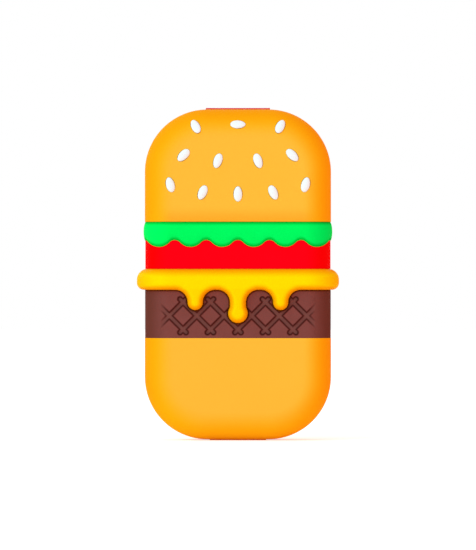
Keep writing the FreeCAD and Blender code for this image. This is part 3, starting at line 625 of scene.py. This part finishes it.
def seed_surface():
    """A kernel on rings from its foot to its crown, with a pole at each end.

    At turn t and height angle h: length cos h cos t, width cos h sin t (1 - taper (1 + cos t) / 2),
    and height sin h, which is scaled to the rise above the bun and to the sink below it.
    """
    height = np.linspace(-np.pi / 2, np.pi / 2, seed_rings + 2)[1:-1, None]
    turn = np.linspace(0, 2 * np.pi, seed_points, endpoint=False)[None, :]
    long = seed_length / 2 * np.cos(height) * np.cos(turn)
    wide = seed_width / 2 * np.cos(height) * np.sin(turn) * (1 - seed_taper * (1 + np.cos(turn)) / 2)
    tall = np.where(height > 0, seed_rise, seed_sink) * np.sin(height) + 0 * turn
    rings = np.stack([long, wide, tall], -1).reshape(-1, 3)
    return np.vstack([rings, [[0, 0, -seed_sink], [0, 0, seed_rise]]])


def pole_fans(rings, points):
    """Triangles from the first and the last ring to their poles, which are the last two vertices."""
    here = np.arange(points)
    after = (here + 1) % points
    top = (rings - 1) * points
    foot_pole = np.full(points, rings * points)
    foot = np.stack([after, here, foot_pole], -1)
    crown = np.stack([top + here, top + after, foot_pole + 1], -1)
    return np.vstack([foot, crown])


def seed_paint(start):
    """Hulled kernel: near white, a little duller in soft patches, with a fine grained skin."""
    kernel_white = mixed(cloud(start, seed_patch), seed_white, seed_pale)
    return {"Base Color": kernel_white, **grained(start, size=0.0003, depth=0.00002, rough=0.5, spread=0.1)}


seed_middle, seed_along, seed_across, seed_out = seed_frames()
kernel = seed_surface()
kernel_points = (seed_middle[:, None] + seed_along[:, None] * kernel[:, 0:1]
                 + seed_across[:, None] * kernel[:, 1:2] + seed_out[:, None] * kernel[:, 2:3])
first_point = (np.arange(len(seed_middle)) * len(kernel))[:, None, None]
seed_quads = (first_point + ring_quads(seed_rings, seed_points)).reshape(-1, 4).tolist()
seed_fans = (first_point + pole_fans(seed_rings, seed_points)).reshape(-1, 3).tolist()
seed_mesh = bpy.data.meshes.new("seeds")
seed_mesh.from_pydata(kernel_points.reshape(-1, 3), [], seed_quads + seed_fans)
seed_mesh.shade_smooth()
seed_mesh.materials.append(finish("seed_kernel", seed_paint, {"Specular IOR Level": seed_gloss}))
seeds = bpy.data.objects.new("seeds", seed_mesh)
bpy.context.scene.collection.objects.link(seeds)
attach(seeds, "lid")
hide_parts("sesame_seeds")

# Lettuce
# A bright green leaf for each half, moulded soft like the buns, with a scalloped skirt over the tomato.
# It is one cross-section carried round the half's outline: plump outside, stepped inside to sit on its tray.
leaf_proud = 0.00055
leaf_seat = 0.0006
leaf_inside = 0.0001
leaf_steps = 26
skin_wall = 0.0022
bulge_pitch = 0.01337
bulge_count = 6
bulge_rise = 0.0029
bulge_share = 0.66
end_half = 0.0057
end_rise = 0.00275
end_share = 0.9
edge_shade_start = 0.0002
edge_shade_reach = 0.0019
leaf_patch = 0.008
leaf_rough = 0.6
leaf_green = srgb(0, 254, 94)
leaf_pale = srgb(0, 255, 100)
leaf_edge_shade = srgb(0, 196, 54)
leaf_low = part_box("lid_lettuce")[0].z
leaf_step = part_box("lid_tomato")[1].z
leaf_top = top_bun_low.z
lid_rim = outline_high.y
lid_depth = lid_rim - top_bun_low.y
base_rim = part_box("rear_patty")[0].y
base_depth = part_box("rear_bottom_bun")[1].y - base_rim


def skirt_rise(x):
    """How far the skirt's edge lies above its lowest point: bulges and hollows of tangent arcs.

    The two radii share the radius R = (w^2 + r^2) / 2r of a wave of half width w and rise r. The last
    bulge on each side is nearly all bulge; it climbs by end_rise and runs on level.
    """
    last = bulge_pitch * (bulge_count - 1) / 2
    half = bulge_pitch / 2
    outside = np.abs(x) > last
    width = np.where(outside, end_half, half)
    rise = np.where(outside, end_rise, bulge_rise)
    share = np.where(outside, end_share, bulge_share)
    off = np.abs((x + last + half) % bulge_pitch - half)
    away = np.where(outside, np.minimum(np.abs(x) - last, width), off)
    both = (width ** 2 + rise ** 2) / (2 * rise)
    bulge = both * share
    hollow = both - bulge
    low = bulge - np.sqrt(np.maximum(bulge ** 2 - away ** 2, 0))
    high = rise - hollow + np.sqrt(np.maximum(hollow ** 2 - (width - away) ** 2, 0))
    return np.where(away < width * share, low, high)


def leaf_mesh(name, rim, depth, edge, way):
    """A leaf round one half: at angle a its outside is -seat + (proud + seat) cos a, and its height sin a.

    The outside starts where it meets the tomato and ends under the bun. Three more points close the
    cross-section behind it. The mesh keeps each point's distance from the leaf's edges for its colour.
    """
    x, y, out_x, out_y = half_outline(half_width, depth, edge)
    first = -math.acos((leaf_seat - leaf_inside) / (leaf_proud + leaf_seat))
    angle = np.linspace(first, np.pi / 2, leaf_steps)
    bottom = (leaf_low + skirt_rise(x))[:, None]
    half = (leaf_top - bottom) / (1 - math.sin(first))
    height = leaf_top - half + half * np.sin(angle)
    proud = np.broadcast_to(-leaf_seat + (leaf_proud + leaf_seat) * np.cos(angle), height.shape)
    ones = np.ones((x.size, 3))
    height = np.hstack([height, ones * [leaf_top, leaf_step, leaf_step]])
    proud = np.hstack([proud, ones * [-skin_wall, -skin_wall, -leaf_inside]])
    mesh = swept(name, np.stack([way * (x[:, None] + out_x[:, None] * proud),
                                 rim + way * (y[:, None] + out_y[:, None] * proud), height], -1))
    inset = np.minimum(leaf_top - height, height - bottom).clip(0)
    from_edge = mesh.attributes.new("from_edge", "FLOAT", "POINT")
    from_edge.data.foreach_set("value", inset.astype(np.float32).ravel())
    return mesh


def lettuce_paint(start):
    """Fresh green with paler patches and a fine grain, with painted shade deepening it towards the leaf's
    upper and hanging edges.
    """
    from_edge = start.node("ShaderNodeAttribute", {"attribute_name": "from_edge"}, {}, "Fac")
    fresh = mixed(cloud(start, leaf_patch), leaf_green, leaf_pale)
    # Painted shade: the green deepens near the leaf's upper and hanging edges, where the rounded leaf turns
    # from the light.
    edge_shaded_leaf = mixed(from_edge.rise(edge_shade_start, edge_shade_reach), leaf_edge_shade, fresh)
    return {"Base Color": edge_shaded_leaf, **soft_skin(start, leaf_rough)}


leaf_skin = finish("leaf_skin", lettuce_paint, matte)
leaves = [
    ("front_leaf", "lid_lettuce", "lid", lid_rim, lid_depth, edge_round, 1),
    ("rear_leaf", "rear_lettuce", "base", base_rim, base_depth, base_depth / 2, -1),
]
for name, node, body, rim, depth, edge, way in leaves:
    leaf = bpy.data.objects.new(name, leaf_mesh(name, rim, depth, edge, way))
    leaf.data.materials.append(leaf_skin)
    bpy.context.scene.collection.objects.link(leaf)
    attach(leaf, body)
    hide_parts(node)

# Tomato
# A plain red band for each half, moulded soft like the buns and pegged to its tray.
# It is set in a little behind the leaf and the cheese.
tomato_red = srgb(255, 0, 23)
tomato_ripe = srgb(253, 0, 17)
tomato_side_shade = srgb(250, 0, 2)
tomato_patch = 0.010
tomato_rough = 0.6
side_shade_start = 0.012
side_shade_end = 0.002


def tomato_paint(start):
    """Red, a little riper in soft patches, with painted shade deepening it towards the two sides."""
    across = abs(place(start)[0])
    flesh = mixed(cloud(start, tomato_patch), tomato_red, tomato_ripe)
    # Painted shade: deeper red towards the rounded sides, where the band turns from the light.
    side_shaded = mixed(across.rise(half_width - side_shade_start, half_width - side_shade_end), flesh, tomato_side_shade)
    return {"Base Color": side_shaded, **soft_skin(start, tomato_rough)}


dress(finish("tomato_skin", tomato_paint, matte), "lid_tomato", "rear_tomato")

# Cheese
# A fat rounded bead round both halves, with three drips over the patty's front.
# Painted shade deepens its yellow to orange where it rounds over, at the bead's edges and round the drips.
cheese_yellow = srgb(255, 226, 0)
cheese_turned_shade = srgb(255, 172, 0)
cheese_rough = 0.55
bead_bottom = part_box("rear_cheese")[0].z
drip_below = 0.0005
drip_above = 0.0025
aside_share = 0.62
drip_share = 1.15
drip_least = 0.31
turn_shade_start = 0.1
turn_shade_full = 0.95


def cheese_paint(start):
    """Yellow, with painted shade turning it orange by how far the surface turns up, down or, less so, aside;
    more so on the drips.
    """
    z = place(start)[2]
    facing = start.node("ShaderNodeTexCoord", {}, {}, "Normal")
    side = start.node("ShaderNodeSeparateXYZ", {}, {"Vector": facing})
    upright = abs(side.also("Z"))
    on_drip = 1 - z.rise(bead_bottom - drip_below, bead_bottom + drip_above)
    away = (side * side + upright * upright).root()
    turned = upright.most(abs(side) * aside_share).most((away * drip_share).most(drip_least) * on_drip)
    # Painted shade: orange where the surface turns away from the front, as the rounded edges fall from the
    # light.
    turn_shaded_cheese = mixed(turned.rise(turn_shade_start, turn_shade_full), cheese_yellow, cheese_turned_shade)
    return {"Base Color": turn_shaded_cheese, **soft_skin(start, cheese_rough)}


dress(finish("cheese_skin", cheese_paint, matte), "lid_cheese", "rear_cheese")

# Patty
# A matt brown band. The lid's has a sunk lattice of crossing grill marks, with painted shade along the
# grooves' edges.
# Each bar leans by the lattice's rise over its pitch, and ends round above and below its middle.
patty_brown = srgb(131, 74, 69)
patty_dark = srgb(122, 67, 60)
bar_brown = srgb(122, 73, 66)
groove_wall_shade = srgb(82, 32, 27)
patty_side_shade = srgb(104, 53, 42)
cheese_contact_shade = srgb(86, 37, 4)
meat_patch = 0.005
lattice_pitch = 0.01162
lattice_rise = 0.01159
lattice_lift = 0.00947
lattice_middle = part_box("lid_patty")[0].z + lattice_lift
lattice_end = 0.0336
lattice_fade = 0.0045
bar_width = 0.0020
bar_run = 0.00999
bar_blur = 0.0001
side_shade_reach = 0.010
wall_shade_core = 0.00006
wall_shade_width = 0.0006
contact_shade_start = 0.0003
contact_shade_reach = 0.0010
neck_half = 0.0034
bulb_half = 0.00415
bulb_drop = 0.00991
side_drip_half = 0.0032
side_drip_drop = 0.00538
side_drip_place = 0.01807
arch_round = 0.00528


def bar_distance(across, height):
    """Distance to the edge of the nearest bar of one lean: below 0 inside it, with round ends."""
    lean = math.atan2(lattice_rise, lattice_pitch)
    gap = lattice_pitch * math.sin(lean)
    beside = height * math.cos(lean) - (across - lattice_pitch / 2) * math.sin(lean)
    beside = beside.wrap(gap / 2, -gap / 2)
    along = (height - beside * math.cos(lean)) / math.sin(lean)
    past = (abs(along) - bar_run).most(0.0)
    return (beside * beside + past * past).root() - bar_width / 2


def cheese_gap(x, z):
    """How far a point of the front lies from the cheese that hangs over it.

    The bead's distance is the height below it. A drip's is that to a line down its middle, less its half
    width, or to the middle drip's bulb. Bead b and drip d meet in an arch of radius r, where the distance
    is max(r, min(b, d)) - hypot(max(r - b, 0), max(r - d, 0)).
    """
    across = abs(x)
    bead = bead_bottom - z
    from_bulb = bead - bulb_drop
    below = from_bulb.most(0.0)
    neck = (across * across + below * below).root() - neck_half
    bulb = (across * across + from_bulb * from_bulb).root() - bulb_half
    beside = across - side_drip_place
    past = (bead - side_drip_drop).most(0.0)
    drip = neck.least(bulb).least((beside * beside + past * past).root() - side_drip_half)
    short = (arch_round - bead).most(0.0)
    close = (arch_round - drip).most(0.0)
    return bead.least(drip).most(arch_round) - (short * short + close * close).root()


def meat(start):
    """Brown in soft patches, with painted shade darkening it towards the two sides."""
    across = abs(place(start)[0])
    brown = mixed(cloud(start, meat_patch), patty_brown, patty_dark)
    # Painted shade: darker towards the two sides, where the rounded band turns from the light.
    return mixed(across.rise(half_width - side_shade_reach, half_width), brown, patty_side_shade)


def meat_grain(start):
    """The patty's grain, coarser than the other skins'."""
    return grained(start, size=0.0006, depth=0.00003, rough=0.65, spread=0.12)


def grilled_paint(start):
    """Meat with a lattice that fades out at the sides: bars, and a line of painted shade along each one's
    sunk edges.

    Painted shade darkens a thin line along the cheese's edge, where it stands over the patty.
    """
    x, _, z = place(start)
    height = z - lattice_middle
    edge = bar_distance(x, height).least(bar_distance(0 - x, height))
    strength = 1 - abs(x).rise(lattice_end - lattice_fade, lattice_end)
    bar = (1 - edge.rise(-bar_blur, bar_blur)) * strength
    # Painted shade: a dark line along each sunk bar's edges, where the groove walls fall into shadow.
    line = (1 - abs(edge).rise(wall_shade_core, wall_shade_width)) * strength
    # Painted shade: a thin dark line along the cheese's outline, where it stands over the patty.
    under_cheese_shade = 1 - cheese_gap(x, z).rise(contact_shade_start, contact_shade_reach)
    grilled = mixed(line, mixed(bar, meat(start), bar_brown), groove_wall_shade)
    return {"Base Color": mixed(under_cheese_shade, grilled, cheese_contact_shade), **meat_grain(start)}


def plain_paint(start):
    """Meat with no grill marks, for the rear."""
    return {"Base Color": meat(start), **meat_grain(start)}


dress(finish("grilled_skin", grilled_paint, matte), "lid_patty")
dress(finish("patty_skin", plain_paint, matte), "rear_patty")

# Feet
# A thin rubber pad stuck under each half, on the flat of its bottom bun.
# It is moulded in the bun's orange, and the closed phone stands on the pair.
foot_rubber = moulded("foot_rubber", srgb(248, 170, 52), srgb(240, 160, 46),
                      grain=0.0004, depth=0.00003, rough=0.8, gloss=0.1)
dress(foot_rubber, "lid_foot_pad", "base_foot_pad")

# Floor, light and camera
# A pale floor in a white room: warm light all round, and soft, cooler lamps from the front left and behind.
# The camera stands level with the phone's middle, far back with a long lens.
floor_reach = 6.0
floor_pale = (0.98, 0.84, 0.80, 1.0)
floor_lift = 0.5
floor_glow = (0.32, 0.10, 0.06, 1.0)
room_light = (0.88, 0.51, 0.48, 1.0)
room_white = (1.0, 1.0, 1.0, 1.0)
key_light = 2.0
key_way = (0.60, 0.68, -0.40)
back_light = 1.4
back_way = (0.25, -0.92, -0.30)
lamp_colour = (0.19, 0.88, 1.0)
lamp_spread = math.radians(70)
pixel_size = 0.0004245
picture_height = 550
sensor_size = 36.0
camera_far = 3.0
camera_side = 0.00003
camera_height = 0.07012
silhouette_y = -0.011


def seen(start):
    """1 for rays from the camera and for mirrored or refracted ones, which see the white room."""
    ray = start.node("ShaderNodeLightPath", {}, {}, "Is Camera Ray")
    return ray.most(ray.also("Is Glossy Ray")).most(ray.also("Is Transmission Ray"))


def floor_paint(start):
    """Pale floor that the camera sees lifted to white, so that only the shadow stays darker.

    On the phone it glows a little, as a lit table does, so that the underside isn't dark.
    """
    return {"Emission Color": mixed(seen(start), floor_glow, room_white)}


floor_mesh = bpy.data.meshes.new("floor")
floor_mesh.from_pydata([(-floor_reach, -floor_reach, 0), (floor_reach, -floor_reach, 0),
                        (floor_reach, floor_reach, 0), (-floor_reach, floor_reach, 0)], [], [(0, 1, 2, 3)])
floor_mesh.materials.append(finish("floor_white", floor_paint,
                                   {"Specular IOR Level": 0.0, "Emission Strength": floor_lift,
                                    "Base Color": floor_pale}))
floor = bpy.data.objects.new("floor", floor_mesh)
bpy.context.scene.collection.objects.link(floor)

room = bpy.data.worlds.new("room")
bpy.context.scene.world = room
room.use_nodes = True
room_start = Shade(room.node_tree)
room_colour = mixed(seen(room_start), room_light, room_white)
room_start.fill(room.node_tree.nodes["Background"], {"Color": room_colour})


def soft_lamp(name, energy, towards):
    """A wide, soft lamp that shines along a direction."""
    light = bpy.data.lights.new(name, "SUN")
    light.energy = energy
    light.color = lamp_colour
    light.angle = lamp_spread
    lamp = bpy.data.objects.new(name, light)
    lamp.rotation_euler = (math.atan2(math.hypot(*towards[:2]), -towards[2]), 0,
                           math.pi + math.atan2(towards[0], -towards[1]))
    bpy.context.scene.collection.objects.link(lamp)


soft_lamp("key_lamp", key_light, key_way)
soft_lamp("back_lamp", back_light, back_way)

lens = bpy.data.cameras.new("camera")
lens.sensor_width = sensor_size
lens.lens = sensor_size * camera_far / (picture_height * pixel_size)
lens.clip_end = 4 * floor_reach
camera = bpy.data.objects.new("camera", lens)
camera.location = (camera_side, silhouette_y - camera_far, camera_height)
camera.rotation_euler = (math.pi / 2, 0, 0)
bpy.context.scene.collection.objects.link(camera)
bpy.context.scene.camera = camera
bpy.context.scene.view_settings.view_transform = "Standard"
